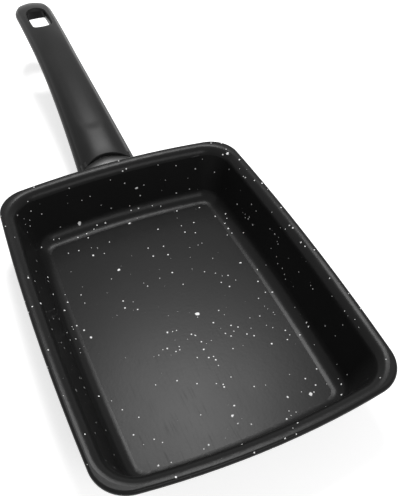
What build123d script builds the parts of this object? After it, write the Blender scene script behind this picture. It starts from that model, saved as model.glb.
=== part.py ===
from build123d import *

import math
import os

# Tamagoyaki pan: a small rectangular pan of cast aluminium with a moulded grip
# on one short side. Millimetres. The origin is the centre of the base's
# underside, +Z is up and the grip points along +Y.

# The rim, seen from above, outside the lip
rim_length = 190.0
rim_width = 140.0
rim_end_bow = 6.4
rim_side_bow = 3.2
rim_corner_radius = 16.6

# The cast body
pan_height = 33.0
floor_thickness = 3.4
wall_thickness = 2.6
wall_flare = 17.0
corner_tightening_share = 0.35
lip_overhang = 3.6
lip_outer_radius = 1.3
lip_under_radius = 1.6
lip_edge_flat = 0.3
lip_top_flat = 0.6
base_outer_radius = 9.0
floor_inner_radius = 8.0
overrun = 2.0

# The steel plate let into the base for induction
plate_end_border = 11.3
plate_side_border = 10.3
plate_corner_radius = 12.0
plate_thickness = 0.8
plate_clearance = 0.1
plate_hole_radius = 2.5
plate_hole_pitch = 12.0
plate_bare_radius = 16.0
plate_margin = 5.0
peg_clearance = 0.1
peg_recess = 0.2

# The seat that is cast on the end wall, square to the wall
seat_centre_height = 9.9
seat_rise = 0.7
seat_depth = 4.0
seat_side_border = 2.1
seat_top_border = 0.6
seat_corner_radius = 6.0

# The steel bracket: a flange on the seat and a channel that rises into the grip
bracket_rise = 14.6
bracket_thickness = 1.5
flange_height = 11.4
flange_corner_radius = 3.5
tang_end_margin = 10.4
tang_clearance = 0.2

# Aluminium studs, closed over the bracket's flange
stud_radius = 2.2
stud_hole_clearance = 0.08
stud_head_radius = 3.6
stud_head_height = 1.6
stud_tang_gap = 0.6
stud_edge = 0.2

# The weld nut in the channel
nut_wall = 1.6
nut_height = 3.2
nut_clearance = 0.05
nut_side_gap = 0.5

# The grip's screw and its washers, along the bracket from the seat
screw_reach = 49.6
screw_radius = 2.4
screw_hole_clearance = 0.3
screw_tip_length = 0.9
screw_tip_gap = 0.8
screw_head_radius = 4.2
screw_head_height = 2.2
screw_head_round = 0.8
screw_slot_length = 5.0
screw_slot_width = 1.1
screw_slot_depth = 1.2
spring_washer_radius = 4.0
spring_washer_height = 1.0
spring_washer_gap = 0.8
plain_washer_radius = 4.6
plain_washer_height = 0.8
washer_clearance = 0.2
counterbore_clearance = 0.6
screw_seat_wall = 1.4

# The polished ferrule between the body and the grip
guard_thickness = 0.8
guard_flange_gap = 1.1

# The grip's mouth, with an arch over it
mouth_clearance = 0.2
mouth_side_wall = 1.9
mouth_top_wall = 2.5
mouth_crown = 0.5
mouth_side_bow = 0.4
mouth_corner_radius = 4.4
mouth_recess = 9.5
mouth_arch_depth = 3.4
mouth_arch_margin = 1.2

# The grip. Its centre line is one arc in the plane x = 0, level at its top.
grip_gap = 9.0
grip_length = 183.0
arch_radius = 553.0
arch_top_run = 161.0
grip_waist_run = 111.0
grip_waist_width = 25.8
grip_waist_height = 15.0
grip_tip_width = 26.2
grip_tip_height = 10.4
grip_crown_share = 0.11
grip_side_bow_share = 0.07
grip_corner_share = 0.36
grip_narrowing = 1.66
grip_tip_length = 18.0
grip_trim = 6.0
grip_station_count = 8
tip_station_count = 7
tip_last_share = 0.985
tip_plan_power = 2.2
tip_side_power = 2.0

# The hanging hole, the shallow dish above it and the deeper one below
hole_end_margin = 20.6
hole_length = 22.9
hole_width = 13.0
hole_near_radius = 3.6
hole_far_radius = 1.8
hole_top = 4.4
hole_bottom = 1.6
dish_margin = 0.3
dish_height = 9.0
dish_slope = 24.0
dish_side_slope = 68.0
dish_corner_radius = 7.0


def bowed_outline(width, length, side_bow, end_bow, corner_radius):
    """A rectangle with bowed sides and round corners: eight arcs, each tangent to the next."""
    side_radius = (length**2 / 4 + side_bow**2) / (2 * side_bow)
    end_radius = (width**2 / 4 + end_bow**2) / (2 * end_bow)
    side_centre = Vector(width / 2 - side_radius, 0)
    end_centre = Vector(0, length / 2 - end_radius)
    # The corner arc's centre lies inside both circles by the corner radius.
    between = end_centre - side_centre
    reach = between.length
    to_side = side_radius - corner_radius
    to_end = end_radius - corner_radius
    along = (to_side**2 - to_end**2 + reach**2) / (2 * reach)
    across = math.sqrt(to_side**2 - along**2)
    forward = between.normalized()
    centre = side_centre + forward * along + Vector(-forward.Y, forward.X) * across
    on_side = centre + (centre - side_centre).normalized() * corner_radius
    on_end = centre + (centre - end_centre).normalized() * corner_radius
    middle = centre + (on_side + on_end - centre * 2).normalized() * corner_radius

    def turned(point, x_sign, y_sign):
        return (point.X * x_sign, point.Y * y_sign)

    half_width = width / 2
    half_length = length / 2
    arcs = [
        (turned(on_side, 1, -1), (half_width, 0), turned(on_side, 1, 1)),
        (turned(on_side, 1, 1), turned(middle, 1, 1), turned(on_end, 1, 1)),
        (turned(on_end, 1, 1), (0, half_length), turned(on_end, -1, 1)),
        (turned(on_end, -1, 1), turned(middle, -1, 1), turned(on_side, -1, 1)),
        (turned(on_side, -1, 1), (-half_width, 0), turned(on_side, -1, -1)),
        (turned(on_side, -1, -1), turned(middle, -1, -1), turned(on_end, -1, -1)),
        (turned(on_end, -1, -1), (0, -half_length), turned(on_end, 1, -1)),
        (turned(on_end, 1, -1), turned(middle, 1, -1), turned(on_side, 1, -1)),
    ]
    return make_face([ThreePointArc(*arc) for arc in arcs])


# The pan's section. The lip's inner fillet takes what the flat on top leaves it.

flare_tangent = math.tan(math.radians(wall_flare))
wall_across = wall_thickness / math.cos(math.radians(wall_flare))
lip_height = lip_outer_radius + lip_under_radius + lip_edge_flat
lip_top_width = lip_overhang + wall_across - lip_outer_radius - lip_top_flat
lip_inner_radius = lip_top_width / math.tan(math.radians((90 - wall_flare) / 2))


def outer_inset(height):
    """How far the outer wall lies inside the rim's outline at a height."""
    return lip_overhang + (pan_height - height) * flare_tangent


def rim_outline(inset, height):
    """The rim's outline drawn in by an inset. Its bows shrink with the square of the size."""
    length = rim_length - 2 * inset
    width = rim_width - 2 * inset
    side_bow = rim_side_bow * (length / rim_length) ** 2
    end_bow = rim_end_bow * (width / rim_width) ** 2
    radius = rim_corner_radius - inset * corner_tightening_share
    return Pos(0, 0, height) * bowed_outline(width, length, side_bow, end_bow, radius)


# The seat on the wall and the bracket's straight line, which rises from the
# seat's centre through the middle of the grip's front. Distances are measured
# along +Y from the pan's centre.

root_slope = math.tan(math.radians(bracket_rise))
root_forward = Vector(0, 1, root_slope).normalized()
wall_normal = Vector(0, math.cos(math.radians(wall_flare)), -math.sin(math.radians(wall_flare)))
wall_foot = rim_length / 2 - outer_inset(0) + seat_rise
seat_distance = wall_foot + seat_centre_height * flare_tangent
seat_point = Vector(0, seat_distance, seat_centre_height)
seat_plane = Plane(origin=seat_point, x_dir=(1, 0, 0), z_dir=wall_normal)
# Across the line its plane has x along +X, and y down.
line_plane = Plane(origin=seat_point, x_dir=(1, 0, 0), z_dir=root_forward)


def along_line(distance):
    """How far along the bracket's line a distance from the pan's centre lies."""
    return (distance - seat_distance) / root_forward.Y


# The bracket's widths grow from the screw outwards: the nut, the channel, the
# studs beside it, the flange, the ferrule round the flange and the grip's front.

nut_width = 2 * (screw_radius + nut_wall)
tang_width = nut_width + 2 * (nut_side_gap + bracket_thickness)
tang_height = bracket_thickness + nut_height + screw_tip_length + screw_tip_gap
tang_reach = screw_reach + tang_end_margin
stud_spacing = tang_width + 2 * (stud_tang_gap + stud_head_radius)
flange_width = stud_spacing + 2 * (stud_head_radius + stud_edge)
guard_width = flange_width + 2 * (guard_flange_gap + guard_thickness)
guard_height = flange_height + 2 * (guard_flange_gap + guard_thickness)
grip_front_width = guard_width + 2 * (mouth_clearance + mouth_side_wall)
grip_front_height = guard_height + 2 * (mouth_clearance + mouth_top_wall)
seat_width = guard_width + 2 * seat_side_border
seat_height = guard_height / math.cos(math.radians(bracket_rise + wall_flare)) + 2 * seat_top_border

# The grip's stretch and its arched centre line

grip_front = rim_length / 2 + grip_gap
grip_end = grip_front + grip_length
grip_waist = grip_front + grip_waist_run
hole_far = grip_end - hole_end_margin
hole_near = hole_far - hole_length
arch_top_distance = grip_front + arch_top_run
arch_front_drop = arch_radius - math.sqrt(arch_radius**2 - arch_top_run**2)
arch_top_height = seat_centre_height + (grip_front - seat_distance) * root_slope + arch_front_drop


def arch_height(distance):
    """The height of the grip's centre line at a distance from the pan's centre."""
    run = arch_top_distance - distance
    return arch_top_height - arch_radius + math.sqrt(arch_radius**2 - run**2)


def arch_plane(distance):
    """A plane square to the grip's centre line, with its x axis along +X."""
    run = arch_top_distance - distance
    forward = Vector(0, math.sqrt(arch_radius**2 - run**2), run)
    return Plane(origin=(0, distance, arch_height(distance)), x_dir=(1, 0, 0), z_dir=forward)


def behind_seat():
    """The space on the pan's side of the seat's face."""
    size = seat_width + seat_height
    return seat_plane * Pos(0, 0, -size / 2) * Box(size, size, size)


# The induction plate, and its holes in a square grid that leaves the middle and
# the corners bare

plate_width = rim_width - 2 * (outer_inset(0) + plate_side_border)
plate_length = rim_length - 2 * (outer_inset(0) + plate_end_border)


def plate_hole_points():
    columns = int((plate_width / 2 - plate_margin) // plate_hole_pitch)
    rows = int((plate_length / 2 - plate_margin) // plate_hole_pitch)
    points = []
    for column in range(-columns, columns + 1):
        for row in range(-rows, rows + 1):
            x = column * plate_hole_pitch
            y = row * plate_hole_pitch
            in_corner = abs(column) == columns and abs(row) == rows
            if math.hypot(x, y) > plate_bare_radius and not in_corner:
                points.append((x, y))
    return points


def plate_blank(growth, thickness):
    """The plate's outline grown on every side, from the base up."""
    outline = RectangleRounded(
        plate_width + 2 * growth,
        plate_length + 2 * growth,
        plate_corner_radius + growth,
    )
    return extrude(outline, thickness)


def make_induction_plate():
    hole = extrude(Circle(plate_hole_radius), plate_thickness)
    holes = [Pos(x, y, 0) * hole for x, y in plate_hole_points()]
    return plate_blank(0, plate_thickness) - holes


# The cast body: a flared wall, a rounded lip, a flat floor and the bracket's seat


def make_pan_body():
    lip_foot = pan_height - lip_height
    outside = loft([rim_outline(outer_inset(0), 0), rim_outline(outer_inset(lip_foot), lip_foot)])
    outside = fillet(outside.faces().sort_by(Axis.Z)[0].edges(), base_outer_radius)
    lip = extrude(rim_outline(0, lip_foot), lip_height)
    lip = fillet(lip.faces().sort_by(Axis.Z)[-1].edges(), lip_outer_radius)
    lip = fillet(lip.faces().sort_by(Axis.Z)[0].edges(), lip_under_radius)
    cavity_top = pan_height + overrun
    floor_inset = outer_inset(floor_thickness) + wall_across
    cavity = loft(
        [
            rim_outline(floor_inset, floor_thickness),
            rim_outline(outer_inset(cavity_top) + wall_across, cavity_top),
        ]
    )
    cavity = fillet(cavity.faces().sort_by(Axis.Z)[0].edges(), floor_inner_radius)
    seat_outline = RectangleRounded(seat_width, seat_height, seat_corner_radius)
    seat = seat_plane * Pos(0, 0, -seat_depth) * extrude(seat_outline, seat_depth)
    body = outside + lip + seat - cavity
    top = body.faces().sort_by(Axis.Z)[-1]
    body = fillet(top.inner_wires()[0].edges(), lip_inner_radius)
    body -= plate_blank(plate_clearance, plate_thickness)
    peg_height = plate_thickness - peg_recess
    peg = extrude(Circle(plate_hole_radius - peg_clearance), peg_height)
    pegs = [Pos(x, y, peg_recess) * peg for x, y in plate_hole_points()]
    return body + pegs


# The bracket: a flange on the seat and a channel that carries the grip


def make_handle_bracket():
    flange_outline = RectangleRounded(flange_width, flange_height, flange_corner_radius)
    flange = seat_plane * extrude(flange_outline, bracket_thickness)
    hole_radius = stud_radius + stud_hole_clearance
    hole = extrude(Circle(hole_radius), bracket_thickness)
    holes = [seat_plane * Pos(side * stud_spacing / 2, 0, 0) * hole for side in (-1, 1)]
    channel_width = tang_width - 2 * bracket_thickness
    outside = Rectangle(tang_width, tang_height)
    inside = Pos(0, -bracket_thickness) * Rectangle(channel_width, tang_height)
    channel = extrude(outside - inside, tang_reach + tang_height)
    channel = line_plane * Pos(0, 0, -tang_height) * channel
    screw_hole = screw_plane * Cylinder(screw_radius + screw_hole_clearance, tang_height)
    return flange + (channel - behind_seat()) - holes - screw_hole


def make_bracket_studs():
    shank_length = bracket_thickness
    shank = extrude(Circle(stud_radius), shank_length)
    head = Pos(0, 0, shank_length) * extrude(Circle(stud_head_radius), stud_head_height)
    head = fillet(head.faces().sort_by(Axis.Z)[-1].edges(), stud_head_height / 2)
    stud = shank + head
    studs = [seat_plane * Pos(side * stud_spacing / 2, 0, 0) * stud for side in (-1, 1)]
    return Compound(studs)


# The screw's own plane: its x axis runs along +X, and its z axis points up
# through the grip, square to the bracket's line, from the web's underside.

screw_up = Vector(0, -root_forward.Z, root_forward.Y)
screw_origin = seat_point + root_forward * screw_reach - screw_up * (tang_height / 2)
screw_plane = Plane(origin=screw_origin, x_dir=(1, 0, 0), z_dir=screw_up)
screw_seat_depth = tang_clearance + screw_seat_wall


def make_bracket_nut():
    blank = Pos(0, 0, bracket_thickness + nut_height / 2) * Box(nut_width, nut_width, nut_height)
    bore = Cylinder(screw_radius + nut_clearance, nut_height * 3)
    return screw_plane * (blank - bore)


def ring(outer_radius, inner_radius, height):
    return extrude(Circle(outer_radius) - Circle(inner_radius), height)


def make_plain_washer():
    low = -screw_seat_depth - plain_washer_height
    inner_radius = screw_radius + washer_clearance
    washer = ring(plain_washer_radius, inner_radius, plain_washer_height)
    return screw_plane * Pos(0, 0, low) * washer


def make_spring_washer():
    low = -screw_seat_depth - plain_washer_height - spring_washer_height
    inner_radius = screw_radius + washer_clearance
    washer = ring(spring_washer_radius, inner_radius, spring_washer_height)
    slit = Pos(spring_washer_radius / 2 + inner_radius / 2, 0, spring_washer_height / 2)
    slit *= Box(spring_washer_radius, spring_washer_gap, spring_washer_height * 2)
    return screw_plane * Pos(0, 0, low) * (washer - slit)


def make_handle_screw():
    stack = plain_washer_height + spring_washer_height
    head_top = -screw_seat_depth - stack
    shank_length = bracket_thickness + nut_height + screw_tip_length - head_top
    shank = Pos(0, 0, head_top) * extrude(Circle(screw_radius), shank_length)
    head = extrude(Circle(screw_head_radius), screw_head_height)
    head = fillet(head.faces().sort_by(Axis.Z)[0].edges(), screw_head_round)
    slot = Box(screw_slot_length, screw_slot_width, 2 * screw_slot_depth)
    head -= [slot, Rot(0, 0, 90) * slot]
    head = Pos(0, 0, head_top - screw_head_height) * head
    return screw_plane * (shank + head)


def section_outline(width, height):
    """The grip's section: a crowned top and underside, bowed flanks and soft shoulders."""
    smaller = min(width, height)
    side_bow = height * grip_side_bow_share
    crown = height * grip_crown_share
    return bowed_outline(width, height, side_bow, crown, smaller * grip_corner_share)


# The ferrule, from the seat into the grip's mouth


def mouth_outline(inset):
    """The mouth's section, flatter and squarer than the grip's, drawn in by an inset."""
    width = grip_front_width - 2 * (mouth_side_wall + inset)
    height = grip_front_height - 2 * (mouth_top_wall + inset)
    return bowed_outline(width, height, mouth_side_bow, mouth_crown, mouth_corner_radius - inset)


guard_reach = along_line(grip_front) + mouth_recess


def make_flame_guard():
    outside = mouth_outline(mouth_clearance)
    inside = mouth_outline(mouth_clearance + guard_thickness)
    tube = extrude(outside - inside, guard_reach + grip_front_height)
    tube = line_plane * Pos(0, 0, -grip_front_height) * tube
    return tube - behind_seat()


# The grip: sections along the arc, thick at the root and slim past the middle,
# closed by a tip that is square in plan and round from the side


def grip_size(distance):
    """The grip's width and height at a distance from the pan's centre."""
    if distance < grip_waist:
        share = 1 - ((grip_waist - distance) / (grip_waist - grip_front)) ** grip_narrowing
        width = grip_front_width + (grip_waist_width - grip_front_width) * share
        height = grip_front_height + (grip_waist_height - grip_front_height) * share
    else:
        share = ((distance - grip_waist) / (grip_end - grip_waist)) ** 2
        width = grip_waist_width + (grip_tip_width - grip_waist_width) * share
        height = grip_waist_height + (grip_tip_height - grip_waist_height) * share
    return width, height


def grip_section(distance, width_share=1, height_share=1):
    width, height = grip_size(distance)
    return arch_plane(distance) * section_outline(width * width_share, height * height_share)


def front_trim():
    """What lies before the grip's front, a face parallel to the wall with an arch cut back into it."""
    front = Plane(origin=(0, grip_front, arch_height(grip_front)), x_dir=(1, 0, 0), z_dir=wall_normal)
    size = grip_front_width * 2
    block = Pos(0, 0, -size / 2) * Box(size, size, size)
    half_width = grip_front_width / 2 - mouth_arch_margin
    arch = make_face(
        [
            ThreePointArc((-half_width, 0), (0, mouth_arch_depth), (half_width, 0)),
            Line((half_width, 0), (-half_width, 0)),
        ]
    )
    notch = Rot(90, 0, 0) * extrude(arch, size / 2, both=True)
    return front * (block + notch)


def mouth_cut():
    """The socket of the ferrule, and the narrower one of the bracket's channel behind it."""
    mouth = extrude(mouth_outline(0), guard_reach)
    channel_width = tang_width + 2 * tang_clearance
    channel_height = tang_height + 2 * tang_clearance
    channel = extrude(Rectangle(channel_width, channel_height), tang_reach + tang_clearance)
    return line_plane * (mouth + channel)


def screw_cut():
    """The screw's hole and the counterbore that hides its head."""
    hole = Cylinder(screw_radius + screw_hole_clearance, grip_front_height)
    hole = Pos(0, 0, -grip_front_height / 2) * hole
    counterbore = Cylinder(plain_washer_radius + counterbore_clearance, grip_front_height)
    counterbore = Pos(0, 0, -screw_seat_depth - grip_front_height / 2) * counterbore
    return screw_plane * (hole + counterbore)


def hole_outline(margin):
    """The hanging hole's outline, rounder towards the pan, grown by a margin."""
    outline = Rectangle(hole_width + 2 * margin, hole_far - hole_near + 2 * margin)
    rows = outline.vertices().group_by(Axis.Y)
    outline = fillet(rows[0], hole_near_radius + margin)
    rows = outline.vertices().group_by(Axis.Y)
    return fillet(rows[-1], hole_far_radius + margin)


def dish(floor_height):
    """A recess that grows from the hole's outline, gently towards the pan and steeply elsewhere."""
    rise = dish_height - floor_height
    gentle = rise / math.tan(math.radians(dish_slope))
    steep = rise / math.tan(math.radians(dish_side_slope))
    width = hole_width + 2 * (dish_margin + steep)
    length = hole_far - hole_near + 2 * dish_margin + gentle + steep
    mouth = RectangleRounded(width, length, dish_corner_radius)
    mouth = Pos(0, (steep - gentle) / 2, dish_height) * mouth
    return loft([Pos(0, 0, floor_height) * hole_outline(dish_margin), mouth])


def hanging_cut():
    """The hole near the end, a shallow dish above it and a deeper one below, turned
    over so that it runs out towards the end."""
    distance = (hole_near + hole_far) / 2
    along = arch_plane(distance).z_dir
    up = Vector(0, -along.Z, along.Y)
    plane = Plane(origin=(0, distance, arch_height(distance)), x_dir=(1, 0, 0), z_dir=up)
    hole = extrude(hole_outline(0), dish_height, both=True)
    return plane * (hole + dish(hole_top) + Rot(180, 0, 0) * dish(hole_bottom))


def make_handle_grip():
    tip_start = grip_end - grip_tip_length
    body_start = grip_front - grip_trim
    step = (tip_start - body_start) / (grip_station_count - 1)
    sections = [grip_section(body_start + step * index) for index in range(grip_station_count)]
    for index in range(1, tip_station_count + 1):
        share = tip_last_share * math.sin(math.pi / 2 * index / tip_station_count)
        width_share = (1 - share**tip_plan_power) ** (1 / tip_plan_power)
        height_share = (1 - share**tip_side_power) ** (1 / tip_side_power)
        sections.append(grip_section(tip_start + grip_tip_length * share, width_share, height_share))
    grip = loft(sections) - front_trim() - hanging_cut()
    return grip - mouth_cut() - screw_cut()


os.makedirs("parts", exist_ok=True)
parts = {
    "pan_body": make_pan_body(),
    "induction_plate": make_induction_plate(),
    "handle_bracket": make_handle_bracket(),
    "bracket_studs": make_bracket_studs(),
    "bracket_nut": make_bracket_nut(),
    "flame_guard": make_flame_guard(),
    "handle_grip": make_handle_grip(),
    "handle_screw": make_handle_screw(),
    "spring_washer": make_spring_washer(),
    "plain_washer": make_plain_washer(),
}
for name, shape in parts.items():
    export_step(shape, f"parts/{name}.step")
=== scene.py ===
# %% [markdown]
# # A tamagoyaki pan
#
# A small rectangular pan: a cast aluminium body with a non-stick coating, a
# steel plate let into its base for induction hobs, and a moulded grip that a
# steel ferrule and a hidden bracket join to the body.
#
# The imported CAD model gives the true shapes. This lesson sets up the camera and
# the light, gives each material its finish, and makes the ferrule and the grip
# again with softer forms. Lengths are in metres.

# %% Load the frame
import math

import bmesh
import bpy
import numpy as np
from mathutils import Matrix, Vector


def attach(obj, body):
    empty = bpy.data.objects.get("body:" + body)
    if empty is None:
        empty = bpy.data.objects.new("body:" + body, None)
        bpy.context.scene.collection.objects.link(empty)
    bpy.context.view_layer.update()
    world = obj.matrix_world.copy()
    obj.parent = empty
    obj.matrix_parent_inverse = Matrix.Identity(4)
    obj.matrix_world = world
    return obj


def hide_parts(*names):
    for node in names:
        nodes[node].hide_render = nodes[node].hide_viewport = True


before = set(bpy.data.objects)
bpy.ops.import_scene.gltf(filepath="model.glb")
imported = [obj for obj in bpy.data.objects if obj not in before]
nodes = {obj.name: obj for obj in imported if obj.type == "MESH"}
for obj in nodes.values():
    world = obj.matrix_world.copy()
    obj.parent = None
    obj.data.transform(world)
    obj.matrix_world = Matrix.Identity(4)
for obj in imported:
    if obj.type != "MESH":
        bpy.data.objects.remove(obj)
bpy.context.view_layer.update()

MM = 0.001
print("nodes:", ", ".join(sorted(nodes)))

# %% [markdown]
# ## The camera
#
# A camera can be placed by eye, but a fit is better: here the rim's corners, the
# grip's outline and the hanging hole gave the viewing angle and the distance. The
# camera looks down at 46 degrees from the front left, and the grip runs away from
# it. The lens is the focal length in pixels, turned into millimetres of a 36 mm
# sensor that spans the long side of a 400 by 496 image.

# %% Place the camera
AZIMUTH = math.radians(-24.007)
ELEVATION = math.radians(45.779)
ROLL = math.radians(0.253)
TARGET = Vector((17.03, 12.77, 33.0)) * MM
DISTANCE = 330.9 * MM
FOCAL_PIXELS = 673.884
LONG_SIDE_PIXELS = 496
SENSOR = 36.0
NEAREST = 10 * MM


def add_object(name, data):
    """An object in the scene that holds the data: a camera, a lamp or a mesh."""
    added = bpy.data.objects.new(name, data)
    bpy.context.scene.collection.objects.link(added)
    return added


def add_camera():
    """A camera on a sphere about the target: its back axis points from the target to it."""
    back = Vector((
        math.sin(AZIMUTH) * math.cos(ELEVATION),
        -math.cos(AZIMUTH) * math.cos(ELEVATION),
        math.sin(ELEVATION),
    ))
    level = Vector((math.cos(AZIMUTH), math.sin(AZIMUTH), 0))
    upright = back.cross(level)
    right = level * math.cos(ROLL) + upright * math.sin(ROLL)
    up = upright * math.cos(ROLL) - level * math.sin(ROLL)
    data = bpy.data.cameras.new("camera")
    data.sensor_width = SENSOR
    data.lens = FOCAL_PIXELS / LONG_SIDE_PIXELS * SENSOR
    data.clip_start = NEAREST
    camera = add_object("camera", data)
    axes = Matrix((right, up, back)).transposed().to_4x4()
    camera.matrix_world = Matrix.Translation(TARGET + back * DISTANCE) @ axes
    bpy.context.scene.camera = camera
    return camera


camera = add_camera()
print("camera at", [round(value, 3) for value in camera.matrix_world.translation])

# %% [markdown]
# ## Writing materials as sums
#
# A procedural material is a graph of nodes. Built by hand it takes a line for
# every link, which hides what it does. One small class that wraps a socket lets
# the same graph be written as arithmetic, and one method adds every other node.

# %% Arithmetic on sockets


class Value:
    """A number in a material, on which arithmetic adds Math nodes."""

    def __init__(self, graph, socket):
        self.graph = graph
        self.socket = socket

    def other(self, output):
        """Another output of the same node."""
        return Value(self.graph, self.socket.node.outputs[output])

    def math(self, operation, *others):
        """A Math node whose first input is this value."""
        inputs = dict(enumerate((self, *others)))
        return self.graph.node("ShaderNodeMath", {"operation": operation}, inputs)

    def __add__(self, other):
        return self.math("ADD", other)

    def __radd__(self, other):
        return self.math("ADD", other)

    def __sub__(self, other):
        return self.math("SUBTRACT", other)

    def __rsub__(self, other):
        return (self * -1).math("ADD", other)

    def __mul__(self, other):
        return self.math("MULTIPLY", other)

    def __rmul__(self, other):
        return self.math("MULTIPLY", other)

    def step(self, low, high):
        """Smoothly 0 at low and 1 at high, whichever of the two is larger."""
        settings = {"interpolation_type": "SMOOTHSTEP"}
        inputs = {"Value": self, "From Min": low, "From Max": high}
        return self.graph.node("ShaderNodeMapRange", settings, inputs)

    def between(self, low, high):
        """A share from 0 to 1 turned into a value from low to high."""
        inputs = {"Value": self, "To Min": low, "To Max": high}
        return self.graph.node("ShaderNodeMapRange", {}, inputs)


# %% One method for every other node


class Graph:
    """A tree of nodes, to which one method adds every kind."""

    def __init__(self, tree):
        self.tree = tree

    def node(self, kind, settings, inputs, output=0):
        """Adds a node, sets its settings, then its sockets, and returns one of its outputs."""
        node = self.tree.nodes.new(kind)
        for name, setting in settings.items():
            setattr(node, name, setting)
        for name, value in inputs.items():
            self.put(node.inputs[name], value)
        return Value(self, node.outputs[output])

    def put(self, socket, value):
        """Links a value to a socket, or sets the socket to a number or colour."""
        if isinstance(value, Value):
            self.tree.links.new(value.socket, socket)
        else:
            socket.default_value = value


# %% A finish


def grey(level):
    """An opaque colour with the same level of red, green and blue."""
    return (level, level, level, 1)


class Finish(Graph):
    """A material whose nodes read places on the piece, in metres."""

    def __init__(self, name):
        self.material = bpy.data.materials.new(name)
        self.material.use_nodes = True
        super().__init__(self.material.node_tree)
        self.shader = self.tree.nodes["Principled BSDF"]
        self.place = self.node("ShaderNodeTexCoord", {}, {}, "Object")
        self.x = self.node("ShaderNodeSeparateXYZ", {}, {"Vector": self.place}, "X")
        self.y, self.z = self.x.other("Y"), self.x.other("Z")

    def from_axis(self):
        """The distance from the upright axis: the root of the squares of x and y."""
        return (self.x * self.x + self.y * self.y).math("SQRT")

    def noise(self, size, detail=2.0, stretch=(1, 1, 1)):
        """Cloudy noise from 0 to 1 whose lumps are about size metres across."""
        place = self.node("ShaderNodeMapping", {}, {"Vector": self.place, "Scale": stretch})
        inputs = {"Vector": place, "Scale": 1 / size, "Detail": detail}
        return self.node("ShaderNodeTexNoise", {}, inputs, "Fac")

    def blend(self, share, first, second):
        """A colour between two, by a share."""
        settings = {"data_type": "RGBA"}
        return self.node("ShaderNodeMix", settings, {0: share, 6: first, 7: second}, 2)

    def shade(self, share, levels):
        """A grey between two levels, by a share."""
        return self.blend(share, *map(grey, levels))

    def set(self, **values):
        """Sets the shader's sockets; an underscore stands for a space in a socket's name."""
        for name, value in values.items():
            self.put(self.shader.inputs[name.replace("_", " ")], value)

    def relief(self, height, depth):
        """A bump whose height of 0 to 1 stands for a real depth in metres."""
        inputs = {"Height": height, "Distance": depth, "Strength": 1.0}
        self.set(Normal=self.node("ShaderNodeBump", {}, inputs, "Normal"))


# %% [markdown]
# ## The non-stick coating
#
# The body is sprayed inside and out with a near-black fluoropolymer coat that
# holds pale specks. Painted dots would need an image; instead two Voronoi
# patterns give each cell one speck, a random number switches most of them off,
# and a slow noise gathers the rest in loose groups. The coat itself has the
# faint orange peel of a sprayed film, and its gloss wanders a little, with thin
# duller streaks along the pan from wiping. Under the base, the rim round the
# steel plate is bare metal, turned about the pan's middle.

# %% The specks
SMALL_SPECKS = {"spacing": 2.6 * MM, "radius": 0.45 * MM, "share": 0.26, "warp": 0.2 * MM}
LARGE_SPECKS = {"spacing": 9.0 * MM, "radius": 1.05 * MM, "share": 0.2, "warp": 1.4 * MM}
SMALLEST_SHARE = 0.45
EDGE_SHARE = 0.1
WOBBLES_PER_RADIUS = 0.6
GROUP_SIZE = 30 * MM
GROUP_STEP = (0.3, 0.75)
SPARSE, DENSE = 0.4, 2.0
CHANCE_STEP = (0.001, -0.001)


def specks(finish, spacing, radius, share, warp):
    """Sparse dots: one place per Voronoi cell, of which about a share are lit. A speck is
    where the distance to that place is under a random radius, and a noise shifts each
    point by up to the warp, so that the dots aren't round."""
    inputs = {"Vector": finish.place, "Scale": WOBBLES_PER_RADIUS / radius, "Detail": 1.0}
    wobble = finish.node("ShaderNodeTexNoise", {}, inputs, "Color")
    shift = finish.node("ShaderNodeVectorMath", {"operation": "SCALE"}, {0: wobble, "Scale": warp})
    place = finish.node("ShaderNodeVectorMath", {"operation": "ADD"}, {0: finish.place, 1: shift})
    inputs = {"Vector": place, "Scale": 1 / spacing}
    cells = finish.node("ShaderNodeTexVoronoi", {}, inputs, "Distance")
    chance = finish.node("ShaderNodeSeparateColor", {}, {"Color": cells.other("Color")}, "Red")
    size = chance.other("Green")
    near = cells * spacing - size.between(SMALLEST_SHARE * radius, radius)
    groups = finish.noise(GROUP_SIZE, 1.0).step(*GROUP_STEP)
    lit = (chance - share * (SPARSE + (DENSE - SPARSE) * groups)).step(*CHANCE_STEP)
    return near.step(EDGE_SHARE * radius, -EDGE_SHARE * radius) * lit


# %% The coating
COAT_GREYS = (0.0080, 0.0115)
SPECK_GREY = 0.9
COAT_ROUGHNESS = (0.27, 0.32)
COAT_SPECULAR = 0.10
COAT_RELIEF = 0.02 * MM
PEEL_SIZE = 1.3 * MM
CLOUD_SIZE = 28 * MM
STREAK_SIZE = 0.5 * MM
STREAK_STRETCH = (1, 0.04, 1)
STREAK_STEP = (0.58, 0.72)
STREAK_ROUGHNESS = 0.04
BARE_STEP = (0.5 * MM, 0.3 * MM)
BARE_GREYS = (0.50, 0.62)
BARE_CLOUD_SIZE = 6 * MM
TURNING_PITCH = 0.45 * MM
TURNING_SWING = 0.2
SPECK_HEIGHT = 0.5


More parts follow.
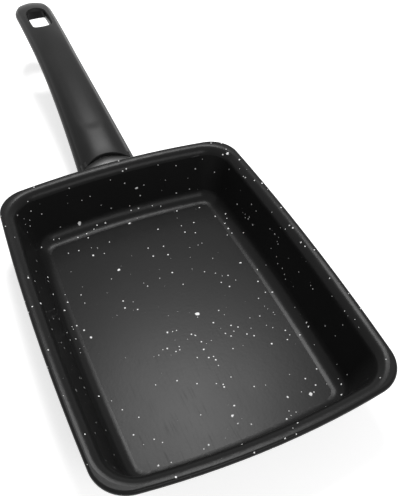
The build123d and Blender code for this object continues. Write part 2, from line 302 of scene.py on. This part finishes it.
def make_coating():
    """The near-black coat with its specks, and bare turned metal below the bare step. The
    turning is the sine of the distance from the axis, about a middle height of a half."""
    finish = Finish("speckled_coating")
    speck = specks(finish, **SMALL_SPECKS).math("MAXIMUM", specks(finish, **LARGE_SPECKS))
    peel = finish.noise(PEEL_SIZE, 3.0)
    cloud = finish.noise(CLOUD_SIZE, 4.0)
    streak = finish.noise(STREAK_SIZE, 2.0, STREAK_STRETCH).step(*STREAK_STEP)
    coat = finish.blend(speck, finish.shade(cloud, COAT_GREYS), grey(SPECK_GREY))
    bare = finish.z.step(*BARE_STEP)
    turning = (finish.from_axis() * (2 * math.pi / TURNING_PITCH)).math("SINE")
    metal = finish.shade(finish.noise(BARE_CLOUD_SIZE, 3.0), BARE_GREYS)
    finish.set(
        Base_Color=finish.blend(bare, coat, metal),
        Metallic=bare,
        Roughness=cloud.between(*COAT_ROUGHNESS) + STREAK_ROUGHNESS * streak,
        Specular_IOR_Level=COAT_SPECULAR,
    )
    ground = peel * (1 - bare) + (turning * TURNING_SWING + 0.5) * bare
    finish.relief(ground + SPECK_HEIGHT * speck, COAT_RELIEF)
    return finish.material


coating = make_coating()
print("coating:", len(coating.node_tree.nodes), "nodes")

# %% [markdown]
# ## The metals
#
# The induction plate is satin stainless steel, rolled and then brushed one way.
# The screw and its washers are plated, the bracket and its nut are mild steel,
# and the studs are plain aluminium. One function makes them all from two greys,
# a roughness and the direction of the brushing.

# %% The metals' finishes
LINE_SIZE = 0.35 * MM
TARNISH_SIZE = 9 * MM
ROUGHNESS_SPREAD = (0.8, 1.25)
# For each metal: its greys, its roughness, how its lines are stretched, and their depth
METALS = {
    "satin_steel": ((0.46, 0.60), 0.32, (1, 0.03, 1), 0.006 * MM),
    "plated_steel": ((0.42, 0.55), 0.28, (1, 1, 1), 0.004 * MM),
    "bracket_steel": ((0.34, 0.45), 0.40, (1, 0.1, 1), 0.008 * MM),
    "stud_aluminium": ((0.62, 0.74), 0.34, (1, 1, 1), 0.006 * MM),
}


def brushing(finish, stretch):
    """Fine lines drawn out along an axis, and their sums with slow clouds: half and half
    for the colour, and two parts to three for the roughness."""
    lines = finish.noise(LINE_SIZE, 3.0, stretch)
    cloud = finish.noise(TARNISH_SIZE, 4.0)
    return lines, lines * 0.5 + cloud * 0.5, lines * 0.4 + cloud * 0.6


def make_metal(name, greys, roughness, stretch, depth):
    """Brushed metal: noise drawn out along one axis tints it, dulls it and scratches it."""
    finish = Finish(name)
    lines, tint, dullness = brushing(finish, stretch)
    finish.set(
        Base_Color=finish.shade(tint, greys),
        Metallic=1.0,
        Roughness=dullness.between(*(roughness * spread for spread in ROUGHNESS_SPREAD)),
    )
    finish.relief(lines, depth)
    return finish.material


metals = {name: make_metal(name, *look) for name, look in METALS.items()}
print("metals:", ", ".join(metals))

# %% [markdown]
# ## Surfaces of two parameters
#
# The grip and the ferrule are sleeves with a rounded section, so each is a grid
# of points: one parameter walks round the section, the other along the piece.
# Subdivided boxes would take guesswork; a formula gives every point at once and
# keeps the sizes of the CAD model. A section is an inner point that slides along a
# rectangle, plus a circle whose radius swells in the middle of each side.

# %% A rounded section
AROUND = np.linspace(0, 2 * np.pi, 128, endpoint=False)
COSINE, SINE = np.cos(AROUND), np.sin(AROUND)
SLIDE_GAIN = 1.9
SLIDE_ACROSS = np.clip(SLIDE_GAIN * COSINE, -1, 1)
SLIDE_UP = np.clip(SLIDE_GAIN * SINE, -1, 1)


def section(width, height, corner, bow, crown):
    """Points (side, rise) round a rounded rectangle: the inner point is the clipped
    cosine and sine times the half sizes less the corner, and the circle's radius is
    the corner plus the bow or crown times one minus the square of the slide."""
    side_radius = corner + bow * (1 - SLIDE_UP**2)
    rise_radius = corner + crown * (1 - SLIDE_ACROSS**2)
    side = (width / 2 - corner - bow) * SLIDE_ACROSS + side_radius * COSINE
    rise = (height / 2 - corner - crown) * SLIDE_UP + rise_radius * SINE
    return side, rise


print("points round a section:", len(AROUND))

# %% [markdown]
# ## From a grid to a piece
#
# A grid becomes a mesh by joining each point with its neighbours, row by row. The
# sum of the little volumes under the faces tells whether they point outwards, and
# if they don't, every face is turned round.

# %% A mesh from a grid
SHARP_ANGLE = math.radians(35)


def grid_mesh(name, grid, capped):
    """A closed mesh from a grid that closes round its sections. Its two ends are
    capped with fans, or joined to each other."""
    rows, around = grid.shape[:2]
    row, column = np.meshgrid(np.arange(rows - capped), np.arange(around), indexing="ij")
    beside = (column + 1) % around
    below = (row + 1) % rows
    corners = [(row, column), (row, beside), (below, beside), (below, column)]
    quads = np.stack([r * around + c for r, c in corners], -1).reshape(-1, 4)
    points = grid.reshape(-1, 3)
    faces = quads.tolist()
    if capped:
        ring = np.arange(around)
        after = (ring + 1) % around
        last = (rows - 1) * around
        start = np.stack([0 * ring + rows * around, after, ring], -1)
        end = np.stack([0 * ring + rows * around + 1, ring + last, after + last], -1)
        points = np.vstack([points, grid[0].mean(0), grid[-1].mean(0)])
        faces += start.tolist() + end.tolist()
    first, second, third, fourth = ((points - points.mean(0))[quads[:, k]] for k in range(4))
    volume = (first * np.cross(second, third) + first * np.cross(third, fourth)).sum()
    if volume < 0:
        faces = [face[::-1] for face in faces]
    mesh = bpy.data.meshes.new(name)
    mesh.from_pydata(points.tolist(), [], faces)
    return mesh


def finish_piece(piece, material, node):
    """Smooth faces with sharp edges, the finish, the body and the node it stands for."""
    piece.data.shade_smooth()
    piece.data.set_sharp_from_angle(angle=SHARP_ANGLE)
    piece.data.materials.clear()
    piece.data.materials.append(material)
    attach(piece, "root")
    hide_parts(node)
    print(piece.name, "faces", len(piece.data.polygons))


# %% [markdown]
# ## The ferrule
#
# Between the body and the grip sits a pressed steel ferrule, slightly barrelled,
# so that near the grip its top leans back and mirrors the grip's dark end. It
# starts on the leaning seat of the pan's wall and ends inside the grip's mouth.
# The inside of the sheet runs back the same way, so the piece closes like a ring.

# %% The bracket's line and the grip's front
WALL_FLARE = math.radians(17)
BRACKET_RISE = math.radians(14.6)
LEAN = math.tan(WALL_FLARE + BRACKET_RISE)
LEAN_COSINE = math.cos(WALL_FLARE + BRACKET_RISE)
SEAT_POINT = np.array([0, 85.038, 9.9]) * MM
LINE_FORWARD = np.array([0, math.cos(BRACKET_RISE), math.sin(BRACKET_RISE)])
LINE_UP = np.array([0, -math.sin(BRACKET_RISE), math.cos(BRACKET_RISE)])
ACROSS = np.array([1, 0, 0])
FRONT_ALONG = 19.595 * MM
ARCH_DEPTH = 4.0 * MM
ARCH_HALF_WIDTH = 16.8 * MM


def arch_cut(side):
    """How deep the arch is cut into the grip's front: one minus the square of the side."""
    return ARCH_DEPTH * np.maximum(0, 1 - (side / ARCH_HALF_WIDTH) ** 2)


def on_line(along, side, rise):
    """Points along the bracket's line from the seat, with a side and a rise."""
    shape = np.broadcast_shapes(along.shape, side.shape, rise.shape)
    along, side, rise = (np.broadcast_to(part, shape)[..., None] for part in (along, side, rise))
    return SEAT_POINT + along * LINE_FORWARD + side * ACROSS + rise * LINE_UP


def front_along(side, rise):
    """Where the grip's front, parallel to the leaning wall, meets a line of the sleeve."""
    return FRONT_ALONG + rise * LEAN + arch_cut(side) / LEAN_COSINE


print("the front leans", round(math.degrees(WALL_FLARE + BRACKET_RISE), 1), "degrees to the line")

# %% The ferrule's sheet
FERRULE_WIDTH = 31.8 * MM
FERRULE_HEIGHT = 15.2 * MM
FERRULE_CORNER = 4.2 * MM
SLEEVE_BOW = 0.4 * MM
SLEEVE_CROWN = 0.5 * MM
FERRULE_SHEET = 0.8 * MM
FERRULE_REACH = 29.0 * MM
FERRULE_BULGE = 1.9 * MM
BULGE_PLACE = 1 / 3


def ferrule_sheet(depth, rows=22):
    """A sleeve whose size swells, between the seat and the grip's front, by the bulge
    times one minus the square of the distance from a place a third of the way along."""
    sizes = FERRULE_WIDTH, FERRULE_HEIGHT, FERRULE_CORNER, SLEEVE_BOW, SLEEVE_CROWN
    side, rise = section(*sizes)
    start, front = rise * LEAN, front_along(side, rise)
    share = np.linspace(0, 1, rows)[:, None]
    seen = start + share * (front - start)
    hidden = front + share[1:] * (FERRULE_REACH - front)
    span = np.where(share < BULGE_PLACE, BULGE_PLACE, 1 - BULGE_PLACE)
    off_top = (share - BULGE_PLACE) / span
    swell = np.vstack([FERRULE_BULGE * (1 - off_top**2), 0 * share[1:]]) - depth
    return on_line(np.vstack([seen, hidden]), side + swell * COSINE, rise + swell * SINE)


# %% [markdown]
# ## The ferrule's steel
#
# The ferrule is polished and still shows the fine arcs of the polishing wheel. It
# mirrors its surroundings, and a bare studio is white all round, which would leave
# it too pale. So its greys are low, and over the last few millimetres before the
# grip they fall off to near black: a painted shade next to the grip. Neither stands
# for wear. The shader finds that place from the same line and the same arch as the
# grid.

# %% The ferrule's finish
FERRULE_GREYS = (0.17, 0.24)
FERRULE_PAINTED_SHADE_GREY = 0.03
FERRULE_PAINTED_SHADE_STEP = (1.4 * MM, 7.5 * MM)
FERRULE_ROUGHNESS = (0.14, 0.24)
POLISH_STRETCH = (0.04, 1, 1)
POLISH_DEPTH = 0.002 * MM


def make_ferrule_steel():
    """Polished steel with a painted shade: its grey grows with the distance before the grip's
    front.
    """
    finish = Finish("ferrule_steel")
    forward, up = LINE_FORWARD.tolist(), LINE_UP.tolist()
    along = (finish.y - SEAT_POINT[1]) * forward[1] + (finish.z - SEAT_POINT[2]) * forward[2]
    rise = (finish.y - SEAT_POINT[1]) * up[1] + (finish.z - SEAT_POINT[2]) * up[2]
    arch = (1 - finish.x * finish.x * (1 / ARCH_HALF_WIDTH**2)).math("MAXIMUM", 0) * ARCH_DEPTH
    front = FRONT_ALONG + rise * LEAN + arch * (1 / LEAN_COSINE)
    # painted shade: the grey falls to near black over the last millimetres before the grip's front
    outside_painted_shade = (front - along).step(*FERRULE_PAINTED_SHADE_STEP)
    lines, tint, dullness = brushing(finish, POLISH_STRETCH)
    steel = finish.shade(tint, FERRULE_GREYS)
    finish.set(
        Base_Color=finish.blend(outside_painted_shade, grey(FERRULE_PAINTED_SHADE_GREY), steel),
        Metallic=1.0,
        Roughness=dullness.between(*FERRULE_ROUGHNESS),
    )
    finish.relief(lines, POLISH_DEPTH)
    return finish.material


ferrule_steel = make_ferrule_steel()
sheets = np.vstack([ferrule_sheet(0), ferrule_sheet(FERRULE_SHEET)[::-1]])
ferrule = add_object("ferrule", grid_mesh("ferrule", sheets, capped=False))
finish_piece(ferrule, ferrule_steel, "flame_guard")

# %% [markdown]
# ## The grip
#
# The grip follows one arc: thick at its root, slim past the middle, and rounded
# off at the tip. Its sizes at the front, the waist and the tip come from the CAD
# model, and two powers of the distance carry one over into the next.

# %% The grip's arc
ARC_RADIUS = 553 * MM
ARC_TOP = 265 * MM
ARC_TOP_HEIGHT = 38.77 * MM
GRIP_FRONT = 104 * MM
GRIP_WAIST = 215 * MM
GRIP_END = 287 * MM
FRONT_SIZE = (36.0 * MM, 20.6 * MM)
WAIST_SIZE = (25.8 * MM, 15.0 * MM)
TIP_SIZE = (26.2 * MM, 10.4 * MM)
FRONT_POWER = 1.66
TIP_POWER = 2


def on_arc(distance, side, rise):
    """Points about the grip's centre line, an arc that is level at its top: the height
    is the arc's circle, and the rise stands square to it."""
    run = ARC_TOP - distance
    level = np.sqrt(ARC_RADIUS**2 - run**2)
    along = distance - rise * run / ARC_RADIUS
    height = ARC_TOP_HEIGHT - ARC_RADIUS + level + rise * level / ARC_RADIUS
    return np.stack([side + 0 * run, along, height], -1)


def grip_size(distance):
    """Width and height: before the waist the front's size fades by a power of the
    distance to the waist, and past it the tip's size grows by a power of its own."""
    before = np.clip((GRIP_WAIST - distance) / (GRIP_WAIST - GRIP_FRONT), 0, None)
    past = np.clip((distance - GRIP_WAIST) / (GRIP_END - GRIP_WAIST), 0, None)
    return tuple(
        waist + (front - waist) * before**FRONT_POWER + (tip - waist) * past**TIP_POWER
        for front, waist, tip in zip(FRONT_SIZE, WAIST_SIZE, TIP_SIZE)
    )


def smooth(value, low, high):
    """0 below low, 1 above high, and three squares less two cubes of the share between."""
    share = np.clip((value - low) / (high - low), 0, 1)
    return share * share * (3 - 2 * share)


print("the grip is", round((GRIP_END - GRIP_FRONT) / MM), "mm long")

# %% [markdown]
# ## The hollow along the top
#
# A long shallow hollow for the thumb runs along the top and ends in a round edge
# near the root, and there the top rolls down to the mouth. It is so shallow that
# a sculpted bump would do from afar, but light on the grip shows it, so it is
# part of the formula.

# %% What is pressed into the top
FLAT_DEPTH_SHARE = 0.042
FLAT_HALF_SHARE = 0.31
HOLLOW_DEPTH = 0.35 * MM
HOLLOW_START = 146 * MM
HOLLOW_ROUND = 12 * MM
HOLLOW_EDGE = (0.6, 1.15)
TOP_FADE = (205 * MM, 236 * MM)
ROLL_START = 127 * MM
ROLL_DEPTH = 0.65 * MM
ROLL_FLANKS = (0.1, 0.7)


def pressed(distance, side, width, height):
    """How far the top is pressed in, as a sum of three parts. One less the square of the
    side, squared, flattens the crown. The hollow is a step of the distance from
    a long oval. The roll is the square of the way from its start to the front. The first
    two fade towards the hanging hole."""
    across = (side / (FLAT_HALF_SHARE * width)) ** 2
    flat = FLAT_DEPTH_SHARE * height * np.clip(1 - across, 0, 1) ** 2
    before = np.maximum(0, HOLLOW_START - distance) / HOLLOW_ROUND
    hollow = HOLLOW_DEPTH * (1 - smooth(np.sqrt(across + before**2), *HOLLOW_EDGE))
    roll = ROLL_DEPTH * (np.maximum(0, ROLL_START - distance) / (ROLL_START - GRIP_FRONT)) ** 2
    return (flat + hollow) * (1 - smooth(distance, *TOP_FADE)) + roll * smooth(SINE, *ROLL_FLANKS)


print("the hollow is", HOLLOW_DEPTH / MM, "mm deep")

# %% [markdown]
# ## The grip's grid
#
# One grid runs from the bottom of the mouth out over the front and along the skin
# to the tip, so that there is no seam to close. The front leans like the wall, so
# each line of the skin starts at another distance, which a few corrected guesses
# find. The tip is rounded off by scaling the section down over its last length.

# %% The grid
CORNER_SHARE, BOW_SHARE, CROWN_SHARE = 0.36, 0.07, 0.11
MOUTH_SIZE = (32.2 * MM, 15.6 * MM, 4.4 * MM)
MOUTH_END = 29.1 * MM
FRONT_EDGE = 0.5 * MM
FRONT_EDGE_SHARE = 0.14
TIP_LENGTH = 18 * MM
TIP_REACH = 0.984
TIP_ROUNDNESS = 2.2


def grip_skin(distance, width_share=1.0, height_share=1.0):
    """The skin at rows of distances: the section there, less what is pressed in."""
    width, height = grip_size(distance)
    width, height = width * width_share, height * height_share
    corner = CORNER_SHARE * np.minimum(width, height)
    side, rise = section(width, height, corner, BOW_SHARE * height, CROWN_SHARE * height)
    return on_arc(distance, side, rise - pressed(distance, side, width, height))


def skin_start(guesses=6):
    """Where each line of the skin meets the leaning front: a guess, moved on by what it
    lacks."""
    wall = np.array([0, math.cos(WALL_FLARE), -math.sin(WALL_FLARE)])
    middle = SEAT_POINT + FRONT_ALONG * LINE_FORWARD
    distance = np.full(AROUND.shape, GRIP_FRONT)
    for _ in range(guesses):
        points = grip_skin(distance)
        distance = distance + arch_cut(points[:, 0]) - (points - middle) @ wall
    return distance


def make_grip_grid(mouth_rows=6, edge_rows=3, rows=130, tip_rows=26):
    """Rows of the mouth, the front, its rounded edge, the skin and the tip. The edge is a
    curve between two places beside the corner, with the corner as its control point. At
    the tip the width and height shrink like those of a rounded square and a circle."""
    start = skin_start()
    side, rise = section(*MOUTH_SIZE, SLEEVE_BOW, SLEEVE_CROWN)
    front = front_along(side, rise)
    depth = np.linspace(1, 0, mouth_rows)[:, None]
    mouth = on_line(front + depth * (MOUTH_END - front), side, rise)
    edge = grip_skin(start)
    inner = edge + (mouth[-1] - edge) * FRONT_EDGE_SHARE
    outer = grip_skin(start + FRONT_EDGE)
    turn = np.linspace(0, 1, edge_rows + 2)[1:-1, None, None]
    rounding = inner * (1 - turn) ** 2 + 2 * edge * turn * (1 - turn) + outer * turn**2
    tip_start = GRIP_END - TIP_LENGTH
    share = np.linspace(0, 1, rows)[:, None]
    skin = grip_skin(start + FRONT_EDGE + share * (tip_start - start - FRONT_EDGE))
    share = TIP_REACH * np.sin(np.linspace(0, np.pi / 2, tip_rows + 1)[1:, None])
    width_share = (1 - share**TIP_ROUNDNESS) ** (1 / TIP_ROUNDNESS)
    tip = grip_skin(tip_start + TIP_LENGTH * share, width_share, np.sqrt(1 - share**2))
    return np.vstack([mouth, inner[None], rounding, skin, tip])


grip = add_object("grip", grid_mesh("grip", make_grip_grid(), capped=True))
print("grip before cutting:", len(grip.data.polygons), "faces")

# %% [markdown]
# ## The grip's resin
#
# The grip is compression moulded from black phenolic resin in a tool with a fine
# spark-eroded texture, so it is matt and a little paler than the pan. The two
# halves of the tool meet along the middle of the flanks and leave a hair line.
# The shader finds that line from the same arc as the grid: its height above the
# floor is worked out from the distance along the pan. Towards the mouth the
# surface is set a little duller, so that the rolled front doesn't shine.

# %% The grip's finish
RESIN_GREYS = (0.0105, 0.0145)
RESIN_ROUGHNESS = (0.32, 0.37)
RESIN_SPECULAR = 0.11
RESIN_CLOUD_SIZE = 18 * MM
GRAIN_SIZE = 0.35 * MM
GRAIN_DEPTH = 0.008 * MM
MOUTH_STEP = (118 * MM, 106 * MM)
MOUTH_ROUGHNESS = 0.14
SEAM_STEP = (0.22 * MM, 0.06 * MM)
SEAM_HEIGHT = 3


def make_resin():
    """Matt black with a fine grain, and a raised line where the height is the arc's."""
    finish = Finish("moulded_resin")
    cloud = finish.noise(RESIN_CLOUD_SIZE, 3.0)
    grain = finish.noise(GRAIN_SIZE, 2.0)
    run = ARC_TOP - finish.y
    arc = (ARC_RADIUS**2 - run * run).math("SQRT") + (ARC_TOP_HEIGHT - ARC_RADIUS)
    mouth = finish.y.step(*MOUTH_STEP)
    seam = (finish.z - arc).math("ABSOLUTE").step(*SEAM_STEP)
    finish.set(
        Base_Color=finish.shade(cloud, RESIN_GREYS),
        Roughness=cloud.between(*RESIN_ROUGHNESS) + MOUTH_ROUGHNESS * mouth,
        Specular_IOR_Level=RESIN_SPECULAR,
    )
    finish.relief(grain + SEAM_HEIGHT * seam, GRAIN_DEPTH)
    return finish.material


resin = make_resin()
print("resin:", len(resin.node_tree.nodes), "nodes")

# %% [markdown]
# ## The hanging hole and the screw's well
#
# Both are cut into the skin with a Boolean modifier, because a grid has no room
# for a hole. The cutters are stacks of rounded outlines. The hanging hole's
# cutter widens towards the top and flares as it leaves the skin, so the recess
# has the soft edge of a moulding.

# %% The cutters
HOLE_MIDDLE = 254.95 * MM
HOLE_SLOPE = 0.018
# In millimetres: the height, the half width, how far the outline reaches towards the pan
# and towards the end, and the corner's radius at each of those two ends
HOLE_STATIONS = [
    (12.0, 17.0, 28.0, 22.0, 9.0, 9.0),
    (7.6, 11.6, 20.5, 17.2, 8.0, 10.0),
    (7.0, 9.4, 17.6, 14.6, 7.0, 8.4),
    (6.6, 8.6, 16.4, 13.6, 6.2, 7.6),
    (6.0, 7.9, 15.0, 12.9, 5.2, 7.0),
    (5.2, 7.3, 13.2, 12.3, 4.4, 6.4),
    (4.4, 6.7, 11.7, 11.7, 3.8, 5.6),
    (4.1, 6.5, 11.45, 11.45, 3.6, 5.2),
    (-1.3, 6.5, 11.45, 11.45, 3.6, 1.8),
    (-1.7, 6.8, 11.7, 12.0, 3.8, 2.4),
    (-4.0, 7.8, 12.7, 17.2, 4.4, 4.4),
    (-7.0, 9.0, 13.9, 24.0, 6.0, 7.0),
    (-12.0, 11.0, 16.0, 35.0, 8.0, 9.0),
]
SCREW_ALONG = 49.6 * MM
WELL_RADIUS = 5.2 * MM
WELL_RISES = np.array([-4.8, -23.2]) * MM


def hole_outlines():
    """A rounded outline for each station: the inner point slides along a rectangle, and a
    circle about it has a radius that goes from one end's to the other's."""
    columns = (np.array(HOLE_STATIONS) * MM).T[..., None]
    height, half, near, far, near_radius, far_radius = columns
    radius = near_radius + (far_radius - near_radius) * (1 + SLIDE_UP) / 2
    side = (half - radius) * SLIDE_ACROSS + radius * COSINE
    along = (far - near) / 2 + ((far + near) / 2 - radius) * SLIDE_UP + radius * SINE
    middle = on_arc(HOLE_MIDDLE + 0 * side, side, 0 * side)
    slope = along[..., None] * np.array([0, 1, HOLE_SLOPE])
    return middle + height[..., None] * np.array([0, 0, 1]) + slope


def screw_well():
    """A cylinder below the screw's seat: a circle of cosine and sine at two rises."""
    along = SCREW_ALONG + WELL_RADIUS * SINE
    return on_line(along, WELL_RADIUS * COSINE, WELL_RISES[:, None])


cutters = [
    add_object(name, grid_mesh(name, grid, capped=True))
    for name, grid in (("hole_cutter", hole_outlines()), ("well_cutter", screw_well()))
]
print("cutters:", ", ".join(cutter.name for cutter in cutters))

# %% Cut the grip
SLIVER = 0.03 * MM
DOUBLE = 0.02 * MM


def cut(piece, cutters):
    """Takes the cutters out of a piece with Boolean modifiers, and keeps the result as its
    mesh, without the slivers where a cut passes close by a vertex."""
    for cutter in cutters:
        modifier = piece.modifiers.new("cut", "BOOLEAN")
        modifier.operation = "DIFFERENCE"
        modifier.solver = "EXACT"
        modifier.object = cutter
    graph = bpy.context.evaluated_depsgraph_get()
    mesh = bpy.data.meshes.new_from_object(piece.evaluated_get(graph))
    work = bmesh.new()
    work.from_mesh(mesh)
    bmesh.ops.dissolve_degenerate(work, edges=work.edges, dist=SLIVER)
    bmesh.ops.remove_doubles(work, verts=work.verts, dist=DOUBLE)
    open_edges = sum(not edge.is_manifold for edge in work.edges)
    work.to_mesh(mesh)
    work.free()
    print(piece.name, "cut:", len(mesh.polygons), "faces,", open_edges, "open edges")
    piece.modifiers.clear()
    piece.data = mesh
    for cutter in cutters:
        bpy.data.objects.remove(cutter)


cut(grip, cutters)
finish_piece(grip, resin, "handle_grip")

# %% [markdown]
# ## A finish for every node
#
# The other nodes keep the CAD model's shapes, which are right as they are, and
# only get a finish in their material slots. The two nodes that the ferrule and
# the grip stand for are hidden, and get the same finish as those.

# %% Give each node its finish
FINISHES = {
    "pan_body": coating,
    "induction_plate": metals["satin_steel"],
    "handle_bracket": metals["bracket_steel"],
    "bracket_studs": metals["stud_aluminium"],
    "bracket_nut": metals["bracket_steel"],
    "flame_guard": ferrule_steel,
    "handle_grip": resin,
    "handle_screw": metals["plated_steel"],
    "spring_washer": metals["plated_steel"],
    "plain_washer": metals["plated_steel"],
}
for name, material in FINISHES.items():
    for material_slot in nodes[name].material_slots:
        material_slot.material = material
print("finished nodes:", len(FINISHES))

# %% [markdown]
# ## The floor
#
# Small things are often shown on white paper. Here it is a pale disc that takes
# the object's shadow. It also glows a little towards the camera and in mirrors,
# and more so further out, so that it reads as white without more light on the
# object. From below it is clear, so that the base can be looked at.

# %% The paper's finish
PAPER_GREYS = (0.80, 0.83)
PAPER_CLOUD_SIZE = 0.2
PAPER_ROUGHNESS = 0.9
PAPER_SPECULAR = 0.1
GLOW = (0.66, 0.92)
GLOW_RADII = (0.3, 1.2)


def make_paper():
    """White paper whose glow is a share of white that grows with the distance from the
    middle, for the rays that come from the camera, a mirror or glass."""
    finish = Finish("white_paper")
    ray = finish.node("ShaderNodeLightPath", {}, {}, "Is Camera Ray")
    seen = ray + ray.other("Is Glossy Ray") + ray.other("Is Transmission Ray")
    glow = seen * finish.from_axis().step(*GLOW_RADII).between(*GLOW)
    finish.set(
        Base_Color=finish.shade(finish.noise(PAPER_CLOUD_SIZE, 3.0), PAPER_GREYS),
        Roughness=PAPER_ROUGHNESS,
        Specular_IOR_Level=PAPER_SPECULAR,
        Emission_Color=finish.shade(glow, (0.0, 1.0)),
        Emission_Strength=1.0,
    )
    below = finish.node("ShaderNodeNewGeometry", {}, {}, "Backfacing")
    clear = finish.node("ShaderNodeBsdfTransparent", {}, {})
    paper = Value(finish, finish.shader.outputs["BSDF"])
    surface = finish.node("ShaderNodeMixShader", {}, {0: below, 1: paper, 2: clear})
    finish.put(finish.tree.nodes["Material Output"].inputs["Surface"], surface)
    return finish.material


# %% The floor
FLOOR_HEIGHT = -0.1 * MM
FLOOR_RADII = np.linspace(0.02, 3.0, 12)
FLOOR_ANGLES = np.linspace(0, 2 * np.pi, 64, endpoint=False)


def floor_mesh():
    """A disc just under z = 0, as rings of points: the radius grows with the first
    parameter, the angle with the second, and a fan fills the smallest ring."""
    radius, angle = np.meshgrid(FLOOR_RADII, FLOOR_ANGLES, indexing="ij")
    points = np.stack([radius * np.cos(angle), radius * np.sin(angle)], -1).reshape(-1, 2)
    points = np.vstack([points, [[0, 0]]])
    points = np.column_stack([points, np.full(len(points), FLOOR_HEIGHT)])
    rings, around = radius.shape
    row, column = np.meshgrid(np.arange(rings - 1), np.arange(around), indexing="ij")
    here = row * around + column
    beside = row * around + (column + 1) % around
    quads = np.stack([here, here + around, beside + around, beside], -1).reshape(-1, 4)
    ring = np.arange(around)
    middle = np.stack([0 * ring + rings * around, ring, (ring + 1) % around], -1)
    mesh = bpy.data.meshes.new("floor")
    mesh.from_pydata(points.tolist(), [], quads.tolist() + middle.tolist())
    return mesh


floor = add_object("floor", floor_mesh())
floor.data.materials.append(make_paper())
print("floor:", len(floor.data.polygons), "faces")

# %% [markdown]
# ## The lamps
#
# One large soft box hangs above the grip and a little behind it: it is what the
# rim and the grip mirror. A weaker one in front opens the dark inside of the far
# wall. Their size sets how soft the highlights are, and their place where these
# lie, so both were moved until the highlights lay about right.

# %% Add the lamps
GRIP_ROOT = (0, 0.118, 0.028)
PAN_MIDDLE = (0, 0, 0.03)
LAMP_DISTANCE = 1.2


def add_softbox(name, aim, direction, width, power):
    """A square lamp that faces the aim from a direction."""
    data = bpy.data.lights.new(name, "AREA")
    data.shape = "SQUARE"
    data.size = width
    data.energy = power
    lamp = add_object(name, data)
    direction = Vector(direction).normalized()
    turn = direction.to_track_quat("Z", "Y").to_matrix().to_4x4()
    lamp.matrix_world = Matrix.Translation(Vector(aim) + direction * LAMP_DISTANCE) @ turn
    return lamp


lamps = [
    add_softbox("softbox", GRIP_ROOT, direction=(0.19, 0.345, 0.919), width=0.36, power=11.0),
    add_softbox("fill", PAN_MIDDLE, direction=(0.1, -0.75, 0.65), width=0.5, power=4.0),
]
print("lamps:", ", ".join(lamp.name for lamp in lamps))

# %% [markdown]
# ## The room
#
# An even white world stands for the walls of the studio. It lights the object
# softly, and to the camera and in mirrors it is full white.

# %% Make the room
ROOM_LIGHT = 0.25
ROOM_SEEN = 1.0


def make_room():
    """A white world whose strength depends on the kind of ray that meets it."""
    world = bpy.data.worlds.new("studio")
    bpy.context.scene.world = world
    world.use_nodes = True
    graph = Graph(world.node_tree)
    ray = graph.node("ShaderNodeLightPath", {}, {}, "Is Camera Ray")
    seen = ray.math("MAXIMUM", ray.other("Is Glossy Ray"))
    background = graph.tree.nodes["Background"]
    graph.put(background.inputs["Strength"], seen.between(ROOM_LIGHT, ROOM_SEEN))
    graph.put(background.inputs["Color"], grey(1.0))
    return world


room = make_room()
bpy.context.scene.view_settings.view_transform = "Standard"
print("world:", room.name)
